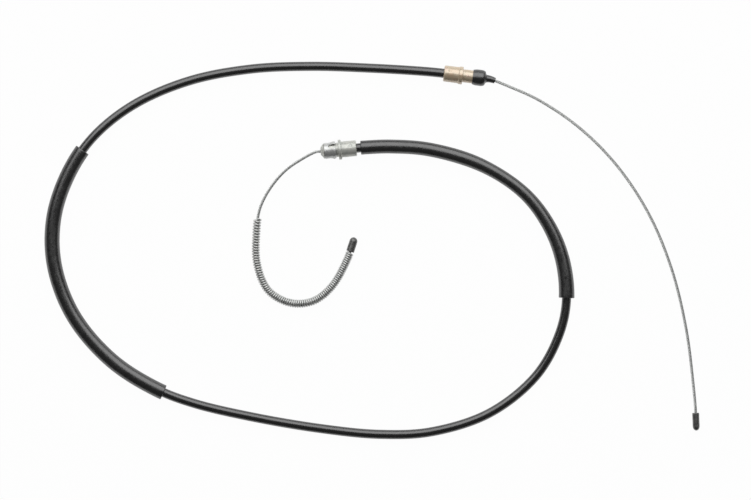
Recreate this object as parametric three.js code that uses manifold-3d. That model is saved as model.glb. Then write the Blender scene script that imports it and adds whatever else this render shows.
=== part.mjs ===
// A parking brake cable as it lies on a flat surface. A steel wire rope slides in a plastic lined
// conduit and carries a cast button at each end. The front fitting has a rubber boot, the rear one
// a flange and a spring prong retainer, and a coil spring guards the bare wire at the rear.
// +X and +Y lie in the surface, +Z is up, and the origin is under the middle of the cable.
import * as THREE from "three";
import { mergeVertices } from "three/addons/utils/BufferGeometryUtils.js";
import Module from "manifold-3d";

const wasm = await Module();
wasm.setup();

// Driving dimensions, in millimetres and degrees

// Wire rope and conduit, from the middle outwards
const WIRE_DIAMETER = 3.2;
const WIRE_CLEARANCE = 0.3; // round the wire in every bore that it slides through
const SEAT_GAP = 0.3; // between pieces that are pressed, moulded or crimped together
const LINER_WALL = 0.5;
const WOUND_WIRE_WALL = 1;
const JACKET_WALL = 1.1;
const FRONT_SLEEVE_WALL = 3;
const REAR_SLEEVE_WALL = 2.3;
const REAR_SLEEVE_WAIST_WALL = 1.6; // where the rear sleeve is drawn thin round its bend
const REAR_SLEEVE_MOUTH_WALL = 3.3; // at its swollen lower end

// Sleeves, as places along the conduit
const FRONT_SLEEVE_START = 424; // from the rear end of the front fitting
const FRONT_SLEEVE_LENGTH = 326;
const REAR_SLEEVE_LENGTH = 320;
const REAR_SLEEVE_TO_FITTING = 4.5;
const REAR_SLEEVE_WAIST_START = 130; // from the mouth, as are the next two
const REAR_SLEEVE_WAIST_END = 165;
const REAR_SLEEVE_BODY_START = 200; // where it has its plain thickness again
const SLEEVE_EDGE = 0.6; // chamfer on each end

// Front conduit fitting
const FRONT_BARREL_DIAMETER = 17.8;
const FRONT_BARREL_LENGTH = 16.5;
const FRONT_COLLAR_DIAMETER = 19.4;
const FRONT_COLLAR_LENGTH = 4.4;
const FRONT_NECK_DIAMETER = 14.2;
const FRONT_NECK_LENGTH = 11;
const FRONT_SPIGOT_LENGTH = 9; // of the neck, inside the boot
const BOOT_BEAD_HEIGHT = 0.6; // of the ridge on the spigot that holds the boot
const BOOT_BEAD_LENGTH = 2.4;

// Front dust boot
const BOOT_CAP_DIAMETER = 17.8;
const BOOT_CAP_LENGTH = 14.2;
const BOOT_CAP_REAR_DIAMETER = 16;
const BOOT_CAP_TAPER_LENGTH = 3.4; // of the narrower rear end
const BOOT_SHOULDER_RADIUS = 4;
const BOOT_FRONT_WALL = 2; // at the shoulder, where the nozzle's bore opens into the cap
const BOOT_NOZZLE_LENGTH = 10.8;
const BOOT_NOZZLE_ROOT_DIAMETER = 8.4;
const BOOT_NOZZLE_TIP_DIAMETER = 6.4;
const BOOT_NOZZLE_FILLET = 1.5;

// Rear conduit fitting
const REAR_BARREL_DIAMETER = 17.5;
const REAR_BARREL_LENGTH = 16.7;
const REAR_FLANGE_DIAMETER = 22;
const REAR_FLANGE_LENGTH = 3.2;
const REAR_FLANGE_EDGE = 0.7; // chamfer on the side that faces the conduit
const REAR_SHOULDER_DIAMETER = 15.8; // of the step between the flange and the prongs
const REAR_SHOULDER_LENGTH = 2.4;
const REAR_HUB_DIAMETER = 14.4;
const REAR_HUB_LENGTH = 15.8; // from the flange to the nose
const REAR_NOSE_DIAMETER = 17.6;
const REAR_NOSE_TIP_DIAMETER = 8;
const REAR_NOSE_LENGTH = 3.9;

// Both fittings
const SOCKET_FLOOR = 5; // from the shoulder of a fitting back to the end of its conduit socket
const LINER_SETBACK = 1; // of the liner from the end that the wire leaves by
const BARREL_EDGE_RADIUS = 1.2;
const CRIMP_DIMPLES = 3;
const CRIMP_DIMPLE_RADIUS = 3.4; // of the round punch
const CRIMP_DIMPLE_DEPTH = 0.8;
const CRIMP_DIMPLE_FROM_END = 6.6;
const CRIMP_ROLL = -22; // of the first dimple, from the top, positive towards -Y

// Prong retainer of the rear fitting
const PRONG_COUNT = 3;
const PRONG_SHEET = 1.2; // thickness of its spring steel
const PRONG_BAND_LENGTH = 5.8;
const PRONG_FINGER_LENGTH = 6.8;
const PRONG_FLARE = 1.1; // how far the crest of a finger stands out from the band
const PRONG_TIP_FLARE = 0.4; // how far its tip, which is turned back in, stands out
const PRONG_CREST_FROM_TIP = 2.7;
const PRONG_SLOT_WIDTH = 4.6;
const PRONG_ROLL = 90; // of the first slot, from the top, positive towards -Y

// Guard spring
const SPRING_DIAMETER = 9;
const SPRING_WIRE_DIAMETER = 2;
const SPRING_LENGTH = 206;
const SPRING_OPEN_LENGTH = 96; // the stretch whose pitch still changes
const SPRING_OPEN_PITCH = 3.2; // at its front end
const SPRING_CLOSE_PITCH = 2.4; // beyond the open stretch

// End buttons
const FRONT_BUTTON_DIAMETER = 7.6;
const FRONT_BUTTON_LENGTH = 19.5;
const REAR_BUTTON_DIAMETER = 8.8;
const REAR_BUTTON_LENGTH = 16.5;
const BUTTON_NOSE_LENGTH = 5;
const BUTTON_EDGE = 0.5;
const BUTTON_WIRE_DEPTH = 12; // how far the wire is cast into a button

// The whole cable as it lies
const LAID_LENGTH = 720; // along X
const DRAWN_LENGTH = 720; // along X, for which the centreline's points below are written

// Facets
const TUBE_SIDES = 8; // wire, liner and wound wire
const JACKET_SIDES = 12;
const SLEEVE_SIDES = 12;
const FITTING_SIDES = 20;
const BUTTON_SIDES = 16;
const DIMPLE_SIDES = 14;
const SPRING_SIDES = 4;
const SPRING_STEPS_PER_TURN = 8;
const ARC_STEPS = 4; // in a rounded edge
const LONGEST_STEP = 60; // of a tube along the route
const SHARPEST_STEP = 12; // degrees that a tube turns in one step
const SAMPLES_PER_SPAN = 24; // of the route's length table
const MERGE_DISTANCE = 1e-4; // within which two vertices are one

// Radii that follow from the sizes above
const wireRadius = WIRE_DIAMETER / 2;
const linerBore = wireRadius + WIRE_CLEARANCE;
const linerRadius = linerBore + LINER_WALL;
const woundWireBore = linerRadius + SEAT_GAP;
const woundWireRadius = woundWireBore + WOUND_WIRE_WALL;
const jacketBore = woundWireRadius + SEAT_GAP;
const jacketRadius = jacketBore + JACKET_WALL;
const sleeveBore = jacketRadius + SEAT_GAP;
const frontSleeveRadius = sleeveBore + FRONT_SLEEVE_WALL;
const rearMouthRadius = sleeveBore + REAR_SLEEVE_MOUTH_WALL;
const collarRadius = FRONT_COLLAR_DIAMETER / 2;
const flangeRadius = REAR_FLANGE_DIAMETER / 2;
const springRadius = SPRING_DIAMETER / 2;
const frontButtonRadius = FRONT_BUTTON_DIAMETER / 2;
const rearButtonRadius = REAR_BUTTON_DIAMETER / 2;

// The straight stretches that the rigid pieces need: where each starts, and which way it heads
const FRONT_TIP = { at: [357.1, -198.9, frontButtonRadius], heading: 92.3 };
const FRONT_FITTING = { at: [124.9, 188.2, collarRadius], heading: 172.9 };
const REAR_FITTING = { at: [-16.8, 111.7, flangeRadius], heading: 185.2 };
const REAR_BUTTON = { at: [-23.9, -2.1, springRadius], heading: 72 };
const STRAIGHT_LEAD = 5; // that the centreline stays straight beyond a rigid piece

// The centreline's points between them, chosen by hand
const FRONT_WIRE_ROUTE = [
  [353.9, -148.8, 2.2],
  [346.2, -88.1, wireRadius],
  [330.4, -22.2, wireRadius],
  [305.4, 38.6, wireRadius],
  [270, 92.4, 2.4],
  [228.9, 133.8, 4.4],
  [184, 164.4, 6.8],
  [149.4, 180.1, 8.7],
];
const CONDUIT_ROUTE = [
  [53, 196.5, 7],
  [-2, 199.8, jacketRadius],
  [-68, 201.8, jacketRadius],
  [-134, 198.7, jacketRadius],
  [-201.2, 185.7, jacketRadius],
  [-262, 159.4, 6.2],
  [-305.8, 124.4, frontSleeveRadius],
  [-332.5, 85.6, frontSleeveRadius],
  [-349.4, 35.9, frontSleeveRadius],
  [-349, -16.5, frontSleeveRadius],
  [-328.2, -72.2, frontSleeveRadius],
  [-286.9, -120.9, frontSleeveRadius],
  [-237, -153, frontSleeveRadius],
  [-196.1, -168.7, 6.4],
  [-134, -183.4, jacketRadius],
  [-57.2, -196.5, jacketRadius],
  [9, -203, jacketRadius],
  [66.1, -200.1, jacketRadius],
  [130.4, -179.1, 5.2],
  [181.2, -138, 6],
  [206.4, -92, 8.2],
  [214, -54, 9],
  [209.6, -11, 8.5],
  [194.2, 27.5, 8.2],
  [167.3, 62.4, 8],
  [120.9, 92.8, 8.2],
  [63.9, 110.1, 9.2],
  [20, 113.5, 10.3],
];
const REAR_WIRE_ROUTE = [
  [-74.8, 100.9, 9.4],
  [-95, 87.1, 7.8],
  [-111.9, 67.4, 6.1],
  [-123.2, 45, 4.9],
  [-127.1, 16, springRadius],
  [-126.1, -16, springRadius],
  [-113.7, -44.9, springRadius],
  [-89.1, -58.5, springRadius],
  [-63.7, -56.1, springRadius],
  [-42.9, -39, springRadius],
];

// The route: one smooth centreline from the front tip to the rear tip

function headingVector(degrees) {
  const angle = THREE.MathUtils.degToRad(degrees);
  return new THREE.Vector3(Math.cos(angle), Math.sin(angle), 0);
}

// A point of the lists above, drawn out with the laid cable
const planScale = LAID_LENGTH / DRAWN_LENGTH;
const laidPoint = ([x, y, z]) => new THREE.Vector3(x * planScale, y * planScale, z);

// Points in line: the two ends of a rigid piece, and a lead before and after it
function straightPoints({ at, heading }, length, leadBefore, leadAfter) {
  const start = laidPoint(at);
  const along = headingVector(heading);
  const offsets = [0, length];
  if (leadBefore) offsets.unshift(-STRAIGHT_LEAD);
  if (leadAfter) offsets.push(length + STRAIGHT_LEAD);
  return offsets.map((offset) => start.clone().addScaledVector(along, offset));
}

const frontFittingLength =
  BOOT_CAP_LENGTH + FRONT_NECK_LENGTH + FRONT_COLLAR_LENGTH + FRONT_BARREL_LENGTH;
const rearFittingLength =
  REAR_BARREL_LENGTH + REAR_FLANGE_LENGTH + REAR_HUB_LENGTH + REAR_NOSE_LENGTH;

const frontTipPoints = straightPoints(FRONT_TIP, FRONT_BUTTON_LENGTH, false, true);
const frontWirePoints = FRONT_WIRE_ROUTE.map(laidPoint);
const frontFittingPoints = straightPoints(FRONT_FITTING, frontFittingLength, true, true);
const conduitPoints = CONDUIT_ROUTE.map(laidPoint);
const rearFittingPoints = straightPoints(REAR_FITTING, rearFittingLength, true, true);
const rearWirePoints = REAR_WIRE_ROUTE.map(laidPoint);
const rearButtonPoints = straightPoints(REAR_BUTTON, REAR_BUTTON_LENGTH, true, false);

const routePoints = [
  ...frontTipPoints,
  ...frontWirePoints,
  ...frontFittingPoints,
  ...conduitPoints,
  ...rearFittingPoints,
  ...rearWirePoints,
  ...rearButtonPoints,
];
const route = new THREE.CatmullRomCurve3(routePoints, false, "centripetal");
route.arcLengthDivisions = (routePoints.length - 1) * SAMPLES_PER_SPAN;
const routeLengths = route.getLengths();
const routeEnd = routeLengths.at(-1);

// A station is a distance along the route from the front tip
const stationOf = (point) => routeLengths[routePoints.indexOf(point) * SAMPLES_PER_SPAN];

// Where a station is, with its tangent, its horizontal side and its upward normal
function frameAt(station) {
  const t = route.getUtoTmapping(0, THREE.MathUtils.clamp(station, 0, routeEnd));
  const along = route.getTangent(t);
  const side = new THREE.Vector3(-along.y, along.x, 0).normalize();
  const up = new THREE.Vector3().crossVectors(along, side);
  return { at: route.getPoint(t), along, side, up };
}

// Stations at which every tube has a ring, so that tubes inside each other bend alike:
// evenly along each span of the route, and where a sleeve or the boot starts or ends
function sharedStations(pieceEnds) {
  const stations = [...pieceEnds];
  for (let i = 0; i < routePoints.length - 1; i++) {
    const start = routeLengths[i * SAMPLES_PER_SPAN];
    const end = routeLengths[(i + 1) * SAMPLES_PER_SPAN];
    const turn = THREE.MathUtils.radToDeg(frameAt(start).along.angleTo(frameAt(end).along));
    const steps = Math.ceil(Math.max((end - start) / LONGEST_STEP, turn / SHARPEST_STEP, 1));
    for (let k = 0; k < steps; k++) stations.push(start + ((end - start) * k) / steps);
  }
  return stations.sort((a, b) => a - b);
}

// Stations of the pieces, from front to rear
const frontButtonFace = FRONT_BUTTON_LENGTH;
const bootCapFront = stationOf(frontFittingPoints[1]);
const bootCapRear = bootCapFront + BOOT_CAP_LENGTH;
const bootTip = bootCapFront - BOOT_NOZZLE_LENGTH;
const spigotEnd = bootCapRear - FRONT_SPIGOT_LENGTH;
const collarFront = bootCapRear + FRONT_NECK_LENGTH;
const collarRear = collarFront + FRONT_COLLAR_LENGTH;
const frontBarrelEnd = collarRear + FRONT_BARREL_LENGTH;
const frontSocketFloor = collarFront + SOCKET_FLOOR;
const frontSleeveStart = frontBarrelEnd + FRONT_SLEEVE_START;
const frontSleeveEnd = frontSleeveStart + FRONT_SLEEVE_LENGTH;
const rearBarrelEnd = stationOf(rearFittingPoints[1]);
const rearSleeveEnd = rearBarrelEnd - REAR_SLEEVE_TO_FITTING;
const rearSleeveStart = rearSleeveEnd - REAR_SLEEVE_LENGTH;
const flangeFront = rearBarrelEnd + REAR_BARREL_LENGTH;
const flangeRear = flangeFront + REAR_FLANGE_LENGTH;
const rearSocketFloor = flangeRear - SOCKET_FLOOR;
const noseStart = flangeRear + REAR_HUB_LENGTH;
const noseTip = noseStart + REAR_NOSE_LENGTH;
const rearButtonFace = stationOf(rearButtonPoints[1]);
const rearTip = rearButtonFace + REAR_BUTTON_LENGTH;
const springEnd = rearButtonFace - SEAT_GAP;
const springStart = springEnd - SPRING_LENGTH;
const ringStations = sharedStations([
  bootTip,
  frontSleeveStart,
  frontSleeveEnd,
  rearSleeveStart,
  rearSleeveEnd,
]);

// Shapes

// Adds a point wherever a long edge of a [radius, station] profile crosses a shared ring
function withRings(profile) {
  const points = [profile[0]];
  for (let i = 1; i < profile.length; i++) {
    const [r0, s0] = profile[i - 1];
    const [r1, s1] = profile[i];
    const low = Math.min(s0, s1) + SEAT_GAP;
    const high = Math.max(s0, s1) - SEAT_GAP;
    const rings = ringStations.filter((station) => station > low && station < high);
    if (s1 < s0) rings.reverse();
    for (const station of rings) {
      points.push([r0 + ((r1 - r0) * (station - s0)) / (s1 - s0), station]);
    }
    points.push(profile[i]);
  }
  return points;
}

// Turns a [radius, station] profile round the route, as a lathe whose axis is the centreline.
// The profile runs up the route on its outside and back down it on its inside.
function turned(profile, sides) {
  const outline = withRings(profile).map(([radius, station]) => new THREE.Vector2(radius, station));
  const geometry = new THREE.LatheGeometry(outline, sides);
  const position = geometry.attributes.position;
  for (let i = 0; i < position.count; i++) {
    const { at, side, up } = frameAt(position.getY(i));
    at.addScaledVector(up, position.getX(i)).addScaledVector(side, position.getZ(i));
    position.setXYZ(i, at.x, at.y, at.z);
  }
  return closed(geometry);
}

// A profile of a plain tube with chamfered outer edges
function tubeProfile(bore, radius, start, end, edge = 0) {
  const outside = edge
    ? [[radius - edge, start], [radius, start + edge], [radius, end - edge], [radius - edge, end]]
    : [[radius, start], [radius, end]];
  return [[bore, start], ...outside, [bore, end], [bore, start]];
}

// Points on a quarter of an ellipse round a centre, from one angle in degrees to another,
// where 0 is straight out from the axis and 90 is up the route
function arcProfile(centreRadius, centreStation, across, along, from, to) {
  const points = [];
  for (let k = 0; k <= ARC_STEPS; k++) {
    const angle = THREE.MathUtils.degToRad(from + ((to - from) * k) / ARC_STEPS);
    points.push([
      centreRadius + across * Math.cos(angle),
      centreStation + along * Math.sin(angle),
    ]);
  }
  return points;
}

// Merges a geometry's shared vertices, so that it is one closed surface
function closed(geometry) {
  geometry.deleteAttribute("normal");
  geometry.deleteAttribute("uv");
  return mergeVertices(geometry, MERGE_DISTANCE);
}

function solidOf(geometry) {
  return new wasm.Manifold(
    new wasm.Mesh({
      numProp: 3,
      vertProperties: geometry.attributes.position.array,
      triVerts: new Uint32Array(geometry.index.array),
    }),
  );
}

function geometryOf(solid) {
  const { vertProperties, triVerts } = solid.getMesh();
  return new THREE.BufferGeometry()
    .setAttribute("position", new THREE.BufferAttribute(vertProperties, 3))
    .setIndex(new THREE.BufferAttribute(triVerts, 1));
}

// Cuts a row of like tools, one for each equal turn round the centreline, out of a piece
function cutAround(geometry, count, roll, station, makeTool) {
  let solid = solidOf(geometry);
  const { at, along, side, up } = frameAt(station);
  for (let k = 0; k < count; k++) {
    const angle = THREE.MathUtils.degToRad(roll) + (2 * Math.PI * k) / count;
    const outward = up
      .clone()
      .multiplyScalar(Math.cos(angle))
      .addScaledVector(side, Math.sin(angle));
    const across = new THREE.Vector3().crossVectors(along, outward);
    const placed = new THREE.Matrix4().makeBasis(outward, along, across.negate()).setPosition(at);
    solid = solid.subtract(solidOf(closed(makeTool().applyMatrix4(placed))));
  }
  return geometryOf(solid);
}

// Presses the round crimp marks into a barrel
function crimped(geometry, barrelDiameter, station) {
  const depthOfCentre = barrelDiameter / 2 + CRIMP_DIMPLE_RADIUS - CRIMP_DIMPLE_DEPTH;
  return cutAround(geometry, CRIMP_DIMPLES, CRIMP_ROLL, station, () =>
    new THREE.SphereGeometry(CRIMP_DIMPLE_RADIUS, DIMPLE_SIDES, DIMPLE_SIDES / 2)
      .rotateZ(Math.PI / 2)
      .translate(depthOfCentre, 0, 0),
  );
}

// Pieces

function innerWireRope() {
  const start = frontButtonFace - BUTTON_WIRE_DEPTH;
  const end = rearButtonFace + BUTTON_WIRE_DEPTH;
  return turned([[0, start], [wireRadius, start], [wireRadius, end], [0, end]], TUBE_SIDES);
}

// A bullet: an elliptical nose at its tip, a chamfer at its wire side and a blind bore for the wire.
// The direction is 1 where the wire leaves up the route and -1 where it leaves down the route.
function endButton(tip, face, direction, radius) {
  const bore = wireRadius + SEAT_GAP;
  const boreFloor = face - direction * (BUTTON_WIRE_DEPTH + SEAT_GAP);
  const nose = arcProfile(
    0, tip + direction * BUTTON_NOSE_LENGTH, radius, direction * BUTTON_NOSE_LENGTH, -90, 0,
  );
  nose[0][0] = 0;
  const profile = [
    ...nose,
    [radius, face - direction * BUTTON_EDGE],
    [radius - BUTTON_EDGE, face],
    [bore, face],
    [bore, boreFloor],
    [0, boreFloor],
  ];
  return turned(direction > 0 ? profile : profile.reverse(), BUTTON_SIDES);
}

function frontDustBoot() {
  const capRadius = BOOT_CAP_DIAMETER / 2;
  const rootRadius = BOOT_NOZZLE_ROOT_DIAMETER / 2;
  const tipRadius = BOOT_NOZZLE_TIP_DIAMETER / 2;
  const grip = FRONT_NECK_DIAMETER / 2 + SEAT_GAP;
  const groove = grip + BOOT_BEAD_HEIGHT;
  const nozzleBore = wireRadius + WIRE_CLEARANCE;
  const chamberFront = bootCapFront + BOOT_FRONT_WALL;
  const grooveRear = spigotEnd + BOOT_BEAD_LENGTH + SEAT_GAP;
  const shoulder = arcProfile(
    capRadius - BOOT_SHOULDER_RADIUS, bootCapFront + BOOT_SHOULDER_RADIUS,
    BOOT_SHOULDER_RADIUS, BOOT_SHOULDER_RADIUS, -90, 0,
  );
  return turned(
    [
      [nozzleBore, bootTip],
      [tipRadius, bootTip],
      [rootRadius, bootCapFront - BOOT_NOZZLE_FILLET],
      [rootRadius + BOOT_NOZZLE_FILLET, bootCapFront],
      ...shoulder,
      [capRadius, bootCapRear - BOOT_CAP_TAPER_LENGTH],
      [BOOT_CAP_REAR_DIAMETER / 2, bootCapRear],
      [grip, bootCapRear],
      [grip, grooveRear],
      [groove, grooveRear - BOOT_BEAD_HEIGHT],
      [groove, spigotEnd - SEAT_GAP],
      [nozzleBore, chamberFront],
      [nozzleBore, bootTip],
    ],
    FITTING_SIDES,
  );
}

// Spigot with its bead, neck, collar and crimped barrel, bored for the liner and for the conduit
function frontConduitFitting() {
  const barrelRadius = FRONT_BARREL_DIAMETER / 2;
  const neckRadius = FRONT_NECK_DIAMETER / 2;
  const beadRadius = neckRadius + BOOT_BEAD_HEIGHT;
  const passage = linerRadius + SEAT_GAP;
  const socket = jacketRadius + SEAT_GAP;
  const barrelEdge = arcProfile(
    barrelRadius - BARREL_EDGE_RADIUS, frontBarrelEnd - BARREL_EDGE_RADIUS,
    BARREL_EDGE_RADIUS, BARREL_EDGE_RADIUS, 0, 90,
  );
  const turnedPart = turned(
    [
      [passage, spigotEnd],
      [neckRadius, spigotEnd],
      [beadRadius, spigotEnd + BOOT_BEAD_HEIGHT],
      [beadRadius, spigotEnd + BOOT_BEAD_LENGTH - BOOT_BEAD_HEIGHT],
      [neckRadius, spigotEnd + BOOT_BEAD_LENGTH],
      [neckRadius, collarFront],
      [collarRadius, collarFront],
      [collarRadius, collarRear - (collarRadius - barrelRadius)],
      [barrelRadius, collarRear],
      ...barrelEdge,
      [socket, frontBarrelEnd],
      [socket, frontSocketFloor],
      [passage, frontSocketFloor],
      [passage, spigotEnd],
    ],
    FITTING_SIDES,
  );
  return crimped(
    turnedPart, FRONT_BARREL_DIAMETER, frontBarrelEnd - CRIMP_DIMPLE_FROM_END,
  );
}

// Crimped barrel, flange, stepped hub for the prong retainer and coned nose, bored as the front
// one is
function rearConduitFitting() {
  const barrelRadius = REAR_BARREL_DIAMETER / 2;
  const shoulderRadius = REAR_SHOULDER_DIAMETER / 2;
  const shoulderEnd = flangeRear + REAR_SHOULDER_LENGTH;
  const hubRadius = REAR_HUB_DIAMETER / 2;
  const passage = linerRadius + SEAT_GAP;
  const socket = jacketRadius + SEAT_GAP;
  const barrelEdge = arcProfile(
    barrelRadius - BARREL_EDGE_RADIUS, rearBarrelEnd + BARREL_EDGE_RADIUS,
    BARREL_EDGE_RADIUS, BARREL_EDGE_RADIUS, -90, 0,
  );
  const turnedPart = turned(
    [
      [socket, rearBarrelEnd],
      ...barrelEdge,
      [barrelRadius, flangeFront],
      [flangeRadius - REAR_FLANGE_EDGE, flangeFront],
      [flangeRadius, flangeFront + REAR_FLANGE_EDGE],
      [flangeRadius, flangeRear],
      [shoulderRadius, flangeRear],
      [shoulderRadius, shoulderEnd],
      [hubRadius, shoulderEnd],
      [hubRadius, noseStart],
      [REAR_NOSE_DIAMETER / 2, noseStart],
      [REAR_NOSE_TIP_DIAMETER / 2, noseTip],
      [passage, noseTip],
      [passage, rearSocketFloor],
      [socket, rearSocketFloor],
      [socket, rearBarrelEnd],
    ],
    FITTING_SIDES,
  );
  return crimped(
    turnedPart, REAR_BARREL_DIAMETER, rearBarrelEnd + CRIMP_DIMPLE_FROM_END,
  );
}

// A band of spring steel behind the nose, slit into fingers that rise towards the flange and turn
// back in at their tips
function rearProngRetainer() {
  const bore = REAR_HUB_DIAMETER / 2 + SEAT_GAP;
  const outer = bore + PRONG_SHEET;
  const bandEnd = noseStart - SEAT_GAP;
  const fingerRoot = bandEnd - PRONG_BAND_LENGTH;
  const fingerTip = fingerRoot - PRONG_FINGER_LENGTH;
  const fingerCrest = fingerTip + PRONG_CREST_FROM_TIP;
  const band = turned(
    [
      [bore + PRONG_TIP_FLARE, fingerTip],
      [outer + PRONG_TIP_FLARE, fingerTip],
      [outer + PRONG_FLARE, fingerCrest],
      [outer, fingerRoot],
      [outer, bandEnd],
      [bore, bandEnd],
      [bore, fingerRoot],
      [bore + PRONG_FLARE, fingerCrest],
      [bore + PRONG_TIP_FLARE, fingerTip],
    ],
    FITTING_SIDES,
  );
  const slotLength = PRONG_FINGER_LENGTH + PRONG_SHEET;
  const slotDepth = 2 * (PRONG_SHEET + PRONG_FLARE);
  return cutAround(band, PRONG_COUNT, PRONG_ROLL, fingerTip, () =>
    new THREE.BoxGeometry(slotDepth, 2 * slotLength, PRONG_SLOT_WIDTH)
      .translate(bore + PRONG_FLARE, 0, 0),
  );
}

// The guard spring's helix round the route. Its pitch falls evenly along the open stretch.
class GuardSpringHelix extends THREE.Curve {
  constructor() {
    super();
    this.coilRadius = (SPRING_DIAMETER - SPRING_WIRE_DIAMETER) / 2;
    this.start = springStart + SPRING_WIRE_DIAMETER / 2;
    this.end = springEnd - SPRING_WIRE_DIAMETER / 2;
    this.turns = this.turnsBy(this.end - this.start);
  }

  turnsBy(distance) {
    const change = (SPRING_CLOSE_PITCH - SPRING_OPEN_PITCH) / SPRING_OPEN_LENGTH;
    const open = Math.min(distance, SPRING_OPEN_LENGTH);
    const openTurns = Math.log((SPRING_OPEN_PITCH + change * open) / SPRING_OPEN_PITCH) / change;
    return openTurns + (distance - open) / SPRING_CLOSE_PITCH;
  }

  getPoint(t, target = new THREE.Vector3()) {
    const distance = t * (this.end - this.start);
    const angle = 2 * Math.PI * this.turnsBy(distance);
    const { at, side, up } = frameAt(this.start + distance);
    return target
      .copy(at)
      .addScaledVector(up, this.coilRadius * Math.cos(angle))
      .addScaledVector(side, this.coilRadius * Math.sin(angle));
  }
}

function guardSpring() {
  const helix = new GuardSpringHelix();
  const steps = Math.round(helix.turns * SPRING_STEPS_PER_TURN);
  helix.arcLengthDivisions = 4 * steps;
  const section = new THREE.Shape();
  for (let k = 0; k < SPRING_SIDES; k++) {
    const angle = (2 * Math.PI * k) / SPRING_SIDES;
    const x = (SPRING_WIRE_DIAMETER / 2) * Math.cos(angle);
    const y = (SPRING_WIRE_DIAMETER / 2) * Math.sin(angle);
    if (k === 0) section.moveTo(x, y);
    else section.lineTo(x, y);
  }
  section.closePath();
  return closed(new THREE.ExtrudeGeometry(section, { steps, extrudePath: helix }));
}

// The conduit's layers and its sleeves

const conduitLayer = (bore, radius, sides) =>
  turned(
    tubeProfile(bore, radius, frontSocketFloor + SEAT_GAP, rearSocketFloor - SEAT_GAP),
    sides,
  );

const conduitLiner = () =>
  turned(
    tubeProfile(linerBore, linerRadius, spigotEnd + LINER_SETBACK, noseTip - LINER_SETBACK),
    TUBE_SIDES,
  );

const frontProtectiveSleeve = () =>
  turned(
    tubeProfile(sleeveBore, frontSleeveRadius, frontSleeveStart, frontSleeveEnd, SLEEVE_EDGE),
    SLEEVE_SIDES,
  );

// The rear sleeve swells towards its mouth and is thinner round its bend
function rearProtectiveSleeve() {
  const waistRadius = sleeveBore + REAR_SLEEVE_WAIST_WALL;
  const bodyRadius = sleeveBore + REAR_SLEEVE_WALL;
  return turned(
    [
      [sleeveBore, rearSleeveStart],
      [rearMouthRadius - SLEEVE_EDGE, rearSleeveStart],
      [rearMouthRadius, rearSleeveStart + SLEEVE_EDGE],
      [waistRadius, rearSleeveStart + REAR_SLEEVE_WAIST_START],
      [waistRadius, rearSleeveStart + REAR_SLEEVE_WAIST_END],
      [bodyRadius, rearSleeveStart + REAR_SLEEVE_BODY_START],
      [bodyRadius, rearSleeveEnd - SLEEVE_EDGE],
      [bodyRadius - SLEEVE_EDGE, rearSleeveEnd],
      [sleeveBore, rearSleeveEnd],
      [sleeveBore, rearSleeveStart],
    ],
    SLEEVE_SIDES,
  );
}

// Materials

const finish = (color, roughness, metalness) =>
  new THREE.MeshStandardMaterial({ color, roughness, metalness });

const galvanisedSteel = () => finish(0xb9bcb9, 0.4, 0.9);
const springSteel = () => finish(0x8c8f8a, 0.45, 0.85);
const brightZinc = () => finish(0xc9ccc4, 0.3, 0.95);
const yellowZinc = () => finish(0xc8a873, 0.32, 0.9);
const castZinc = () => finish(0x3a3a3a, 0.5, 0.6);
const blackPlastic = () => finish(0x1b1b1c, 0.42, 0);
const blackRubber = () => finish(0x151515, 0.55, 0);
const linerPlastic = () => finish(0xe6e3d8, 0.5, 0);

// The cable

const cable = new THREE.Group();

function add(name, geometry, material) {
  const mesh = new THREE.Mesh(geometry, material);
  mesh.name = name;
  cable.add(mesh);
}

add("front_end_button", endButton(0, frontButtonFace, 1, frontButtonRadius), castZinc());
add("inner_wire_rope", innerWireRope(), galvanisedSteel());
add("front_dust_boot", frontDustBoot(), blackRubber());
add("front_conduit_fitting", frontConduitFitting(), yellowZinc());
add("conduit_jacket", conduitLayer(jacketBore, jacketRadius, JACKET_SIDES), blackPlastic());
add("conduit_wound_wire", conduitLayer(woundWireBore, woundWireRadius, TUBE_SIDES), springSteel());
add("conduit_liner", conduitLiner(), linerPlastic());
add("front_protective_sleeve", frontProtectiveSleeve(), blackRubber());
add("rear_protective_sleeve", rearProtectiveSleeve(), blackRubber());
add("rear_conduit_fitting", rearConduitFitting(), brightZinc());
add("rear_prong_retainer", rearProngRetainer(), springSteel());
add("guard_spring", guardSpring(), springSteel());
add("rear_end_button", endButton(rearTip, rearButtonFace, -1, rearButtonRadius), castZinc());

export default cable;
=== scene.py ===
# The looks of a parking brake cable as it lies on a pale floor, seen from straight above.
# Lengths are in metres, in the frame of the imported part.
import math

import bpy
import numpy as np
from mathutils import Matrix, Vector


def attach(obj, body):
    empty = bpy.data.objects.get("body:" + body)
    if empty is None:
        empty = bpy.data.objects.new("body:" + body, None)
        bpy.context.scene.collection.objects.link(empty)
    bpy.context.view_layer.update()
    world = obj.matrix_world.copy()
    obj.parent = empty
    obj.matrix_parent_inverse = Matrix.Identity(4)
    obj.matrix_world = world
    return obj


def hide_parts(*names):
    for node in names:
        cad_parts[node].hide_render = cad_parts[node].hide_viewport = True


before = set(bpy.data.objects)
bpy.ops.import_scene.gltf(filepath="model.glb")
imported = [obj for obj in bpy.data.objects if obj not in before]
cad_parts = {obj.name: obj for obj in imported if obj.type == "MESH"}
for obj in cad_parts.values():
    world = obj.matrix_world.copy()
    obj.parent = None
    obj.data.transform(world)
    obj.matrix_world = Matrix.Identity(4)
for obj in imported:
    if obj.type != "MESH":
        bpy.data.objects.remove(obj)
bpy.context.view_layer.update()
MM = 0.001
NEARLY_NOTHING = 1e-6  # the radius of a ring on the centreline

# Lengths, bores and radii repeat those of the CAD part. Fillets and slopes are finer here.

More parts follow.
